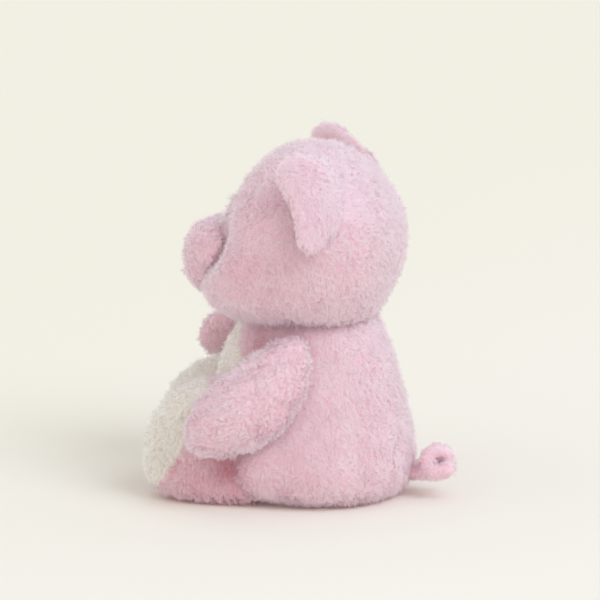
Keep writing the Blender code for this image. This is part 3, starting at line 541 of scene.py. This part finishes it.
TORSO_PARTS = {"left": lambda p: (p[:, 0] >= 0) & (p[:, 1] < 0.03),
               "right": lambda p: (p[:, 0] < 0) & (p[:, 1] < 0.03),
               "back": lambda p: p[:, 1] >= 0.03}
for number, (part, inside) in enumerate(TORSO_PARTS.items()):
    pile = grow_pile(f"torso_pile_{part}", torso, 11 + number, falls_down, lambda p, n, within=inside: (
        torso_shown(p, n) & within(p) & (belly_side(p) < 0)), length=longer_low)
    dress(pile, "torso", "pink_plush", pink_plush)
belly_pile = grow_pile("belly_pile", torso, 15, falls_down,
                       lambda p, n: torso_shown(p, n) & (belly_side(p) >= 0), length=BELLY_PILE_LENGTH)
dress(belly_pile, "torso", "cream_plush", cream_plush)

# ---- Head --------------------------------------------------------------------------------
# A ball sewn from two sides and a middle strip, stuffed tight, with full cheeks. The pile
# runs back from the face and down over the cheeks.
HEAD_VOXEL = 0.0040
BROW_REACH = (0.008, 0.008, 0.009)
FACE_REACH = (0.022, 0.028, 0.030)
DISH_MIDDLE = (0.0, 0.0, 0.095)
DISH_RADIUS = 0.058
EAR_ROOT = (0.045, 0.012, 0.236)
head = padded_form("head_bag", ["head_cover", "head_stuffing"], HEAD_VOXEL, PILE_DEPTH)
dress(head, "head", "pink_plush", pink_backing, "head_cover", "head_stuffing")
for sign in (1.0, -1.0):
    for brow in ((sign * 0.039, -0.034, 0.231), (sign * 0.043, -0.039, 0.223)):
        press(head, brow, BROW_REACH, (sign * -0.0030, 0.0030, 0.0))
    press(head, (sign * 0.036, -0.054, 0.180), FACE_REACH, (sign * -0.004, 0.010, 0.0))


def runs_back(places):
    """The pile runs from the face to the back and down the sides."""
    lie = np.zeros_like(places)
    lie[:, 1] = 0.55
    lie[:, 2] = -0.8
    return lie


EYES = [points_of(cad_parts[f"eye_{side}"].data).mean(0) for side in ("left", "right")]


def longer_by_eyes(places):
    """The pile is longer in a ring round each eye, which sits sunk in it, and by the roots of the ears."""
    reach = np.min([np.linalg.norm(places - eye, axis=1) for eye in EYES], axis=0)
    mirrored = np.abs(places) * [1, 0, 0] + places * [0, 1, 1]
    by_ear = np.linalg.norm(mirrored - EAR_ROOT, axis=1)
    ring = 0.0026 * np.exp(-((reach - 0.008) / 0.004) ** 2)
    return PILE_LENGTH + ring + 0.0024 * np.exp(-(by_ear / 0.020) ** 2)


def head_shown(places, outward):
    """Leave out the pile inside the dish under the head."""
    return ~((np.linalg.norm(places - DISH_MIDDLE, axis=1) < DISH_RADIUS) & (outward[:, 2] < 0.0))


for side, low, high in (("left", 0.025, 1.0), ("middle", -0.025, 0.025), ("right", -1.0, -0.025)):
    pile = grow_pile(f"head_pile_{side}", head, {"left": 21, "middle": 22, "right": 23}[side], runs_back,
                     lambda p, n, a=low, b=high: head_shown(p, n) & (p[:, 0] >= a) & (p[:, 0] < b),
                     length=longer_by_eyes)
    dress(pile, "head", "pink_plush", pink_plush)

# ---- Snout -------------------------------------------------------------------------------
# A short muzzle sewn onto the face, with a round disc across its front in the same plush,
# clipped a little shorter. Its sewn edge spreads over the cheeks, and its top sinks a little.
SNOUT_PILE_LENGTH = 0.0040
SNOUT_SPREAD = 0.50
snout = padded_form("snout_bag", ["snout_cover", "snout_disc", "snout_stuffing"], 0.0028, 0.0004)
dress(snout, "head", "pink_plush", pink_backing, "snout_cover", "snout_disc", "snout_stuffing")
places = points_of(snout.data)
rear = np.clip((places[:, 1] + 0.083) / 0.020, 0.0, 1.0)
places[:, 0] *= 1 + SNOUT_SPREAD * rear
places[:, 1] += 0.012 * rear * (places[:, 0] / 0.035) ** 2
places[:, 2] -= 0.003 * np.clip((places[:, 2] - 0.172) / 0.02, 0.0, 1.0)
snout.data.vertices.foreach_set("co", places.ravel())
snout.data.update()
snout_pile = grow_pile("snout_pile", snout, 31, runs_back,
                       lambda p, n: ~((p[:, 1] > -0.058) & (n[:, 1] > 0.6)), length=SNOUT_PILE_LENGTH)
dress(snout_pile, "head", "pink_plush", pink_plush)

# ---- Eyes and nostrils -------------------------------------------------------------------
# Glossy black plastic beads on stems, locked by white plastic washers behind the cover, and
# two nostrils in satin stitch.
bead, tree, shader = new_material("black_acrylic_bead")
place = add_node(tree, 'ShaderNodeTexCoord')
smear = add_node(tree, 'ShaderNodeTexNoise', {"Vector": place.outputs["Object"], "Scale": 300.0})
dull = add_node(tree, 'ShaderNodeMapRange', {"Value": smear.outputs["Fac"], "To Min": 0.05, "To Max": 0.16})
tree.links.new(dull.outputs["Result"], shader.inputs["Roughness"])
shader.inputs["Base Color"].default_value = linear("#120F10")
shader.inputs["IOR"].default_value = 1.49
washer, tree, shader = new_material("white_moulded_polypropylene")
place = add_node(tree, 'ShaderNodeTexCoord')
flow = add_node(tree, 'ShaderNodeTexNoise', {"Vector": place.outputs["Object"], "Scale": 200.0})
white = add_node(tree, 'ShaderNodeMix', {0: flow.outputs["Fac"], 6: linear("#DDDDDA"), 7: linear("#D3D3CF")},
                 data_type='RGBA')
tree.links.new(white.outputs[2], shader.inputs["Base Color"])
shader.inputs["Roughness"].default_value = 0.5
thread, tree, shader = new_material("rose_rayon_thread")
place = add_node(tree, 'ShaderNodeTexCoord')
rows = add_node(tree, 'ShaderNodeTexWave', {"Vector": place.outputs["Object"], "Scale": 420.0,
                                            "Distortion": 1.0}, bands_direction='Z')
rose = add_node(tree, 'ShaderNodeMix', {0: rows.outputs["Fac"], 6: linear("#A85F74"), 7: linear("#C77F92")},
                data_type='RGBA')
raised = add_node(tree, 'ShaderNodeBump', {"Height": rows.outputs["Fac"], "Distance": 0.0003, "Strength": 0.8})
tree.links.new(rose.outputs[2], shader.inputs["Base Color"])
tree.links.new(raised.outputs[0], shader.inputs["Normal"])
shader.inputs["Roughness"].default_value = 0.45
for side in ("left", "right"):
    for node, material in ((f"eye_{side}", bead), (f"eye_washer_{side}", washer), (f"nostril_{side}", thread)):
        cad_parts[node].material_slots[0].material = material

# ---- Ears --------------------------------------------------------------------------------
# Two leaves of plush sewn back to back, unstuffed, folded forward over the head and cupped.
# The right one leans over the head, so that its upper part shows behind it as a round lobe.
RIGHT_EAR_PRESSES = (((-0.060, 0.008, 0.236), (0.028, 0.030, 0.027), (0.015, 0.0, 0.002)),
                     ((-0.058, 0.027, 0.226), (0.034, 0.024, 0.032), (0.018, 0.010, 0.008)),
                     ((-0.062, -0.009, 0.236), (0.030, 0.020, 0.030), (0.006, -0.007, 0.0)))
for side, sign in (("left", 1.0), ("right", -1.0)):
    ear = padded_form(f"ear_{side}", [f"ear_back_{side}", f"ear_front_{side}"], 0.0014, 0.0006, pressure=1.0,
                      cap=0.0006, even=3)
    dress(ear, f"ear_{side}", "pink_plush", pink_backing, f"ear_back_{side}", f"ear_front_{side}")
    middle = points_of(ear.data).mean(0)
    if side == "right":
        for centre, reach, push in RIGHT_EAR_PRESSES:
            press(ear, centre, reach, push)
    ear_pile = grow_pile(f"ear_pile_{side}", ear, 41 if sign > 0 else 42,
                         lambda p, at=middle: 0.45 * unit(p - at) + [0.0, -0.5, -0.8], lift=34, wave=0.035,
                         density=6.5, gather=0.2, ruffle=0.2)
    dress(ear_pile, f"ear_{side}", "pink_plush", pink_plush)

# ---- Arms --------------------------------------------------------------------------------
# Flat-backed paddles of an inner and an outer cover, lightly stuffed. The seam runs round
# the edge, and the pile lies towards the hand.
LIMB_VOXEL = 0.0036
ARM_LIE = {"left": (0.0, -0.62, -0.78), "right": (0.0, -0.93, -0.36)}
for side, sign in (("left", 1.0), ("right", -1.0)):
    arm = padded_form(f"arm_bag_{side}", [f"arm_inner_{side}", f"arm_outer_{side}", f"arm_stuffing_{side}"],
                      LIMB_VOXEL, PILE_DEPTH)
    dress(arm, f"arm_{side}", "pink_plush", pink_backing, f"arm_inner_{side}", f"arm_outer_{side}",
          f"arm_stuffing_{side}")
    arm_pile = grow_pile(f"arm_pile_{side}", arm, 51 if sign > 0 else 52,
                         lambda p, s=side: np.tile(ARM_LIE[s], (len(p), 1)), tuft=0.0014, ruffle=1.1)
    dress(arm_pile, f"arm_{side}", "pink_plush", pink_plush)

# ---- Legs --------------------------------------------------------------------------------
# Stubby legs stretched forward, pink behind and closed in front by a cream sole. Their pink plush is painted a
# deeper rose, painted shade for where the hand and belly shade them in the photograph.
SOLE_SEAM = Vector((0.0, -0.037, 0.047))
SOLE_LEAN_DEG = 27
SOLE_TURN_DEG = 21
SOLE_PILE_LENGTH = 0.0050
# A deeper rose copy of the pink plush: painted shade on the legs.
leg_plush_painted_shade = plush("pink_cut_plush_painted_shade", "#E8A9B8", "#FFFCFC", mottle=0.6, shade_share=0.6, painted_sheen_strength=0.9)
HIP = {"left": Vector((0.039, -0.050, 0.0)), "right": Vector((-0.039, -0.050, 0.0))}
for side, sign in (("left", 1.0), ("right", -1.0)):
    leg = padded_form(f"leg_bag_{side}", [f"leg_cover_{side}", f"sole_{side}", f"leg_stuffing_{side}"],
                      LIMB_VOXEL, PILE_DEPTH)
    dress(leg, f"leg_{side}", "pink_plush", pink_backing, f"leg_cover_{side}", f"sole_{side}",
          f"leg_stuffing_{side}")
    lean, toe = math.radians(SOLE_LEAN_DEG), math.radians(SOLE_TURN_DEG)
    facing = Vector((sign * math.sin(toe) * math.cos(lean), -math.cos(toe) * math.cos(lean), math.sin(lean)))
    seam = np.array(HIP[side] + SOLE_SEAM)

    def ahead(places, at=seam, way=np.array(facing)):
        """How far a place lies in front of the sole's seam."""
        return (places - at) @ way

    def leg_shown(places, outward):
        """Leave out the pile under the leg and the pile buried in the torso."""
        buried = (places[:, 1] > -0.045) & (np.abs(places[:, 0]) < 0.055)
        return ~buried & ~((places[:, 2] < SEAT_HEIGHT) & (outward[:, 2] < -0.6))

    line_in_cream(leg, lambda p: ahead(p) >= 0)
    press(leg, (sign * 0.060, -0.026, 0.010), (0.030, 0.030, 0.022), (0.0, 0.010, 0.0))
    leg_pile = grow_pile(f"leg_pile_{side}", leg, 61 if sign > 0 else 62, falls_down,
                         lambda p, n: leg_shown(p, n) & (ahead(p) < 0), length=longer_low)
    dress(leg_pile, f"leg_{side}", "pink_plush", leg_plush_painted_shade)
    sole_pile = grow_pile(f"sole_pile_{side}", leg, 63 if sign > 0 else 64, falls_down,
                          lambda p, n: leg_shown(p, n) & (ahead(p) >= 0), length=SOLE_PILE_LENGTH)
    dress(sole_pile, f"leg_{side}", "cream_plush", cream_plush)

# ---- Tail --------------------------------------------------------------------------------
# A thin tube of plush over a curled core, sewn into the back.
TAIL_PILE_LENGTH = 0.0036
tail = padded_form("tail_core", ["tail"], 0.0013, 0.0010, pressure=0.5, cap=0.0002)
dress(tail, "tail", "pink_plush", pink_backing, "tail")
tail_pile = grow_pile("tail_pile", tail, 71, lambda p: np.tile([0.0, 0.3, -0.6], (len(p), 1)),
                      length=TAIL_PILE_LENGTH, lift=26)
dress(tail_pile, "tail", "pink_plush", pink_plush)

low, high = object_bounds()
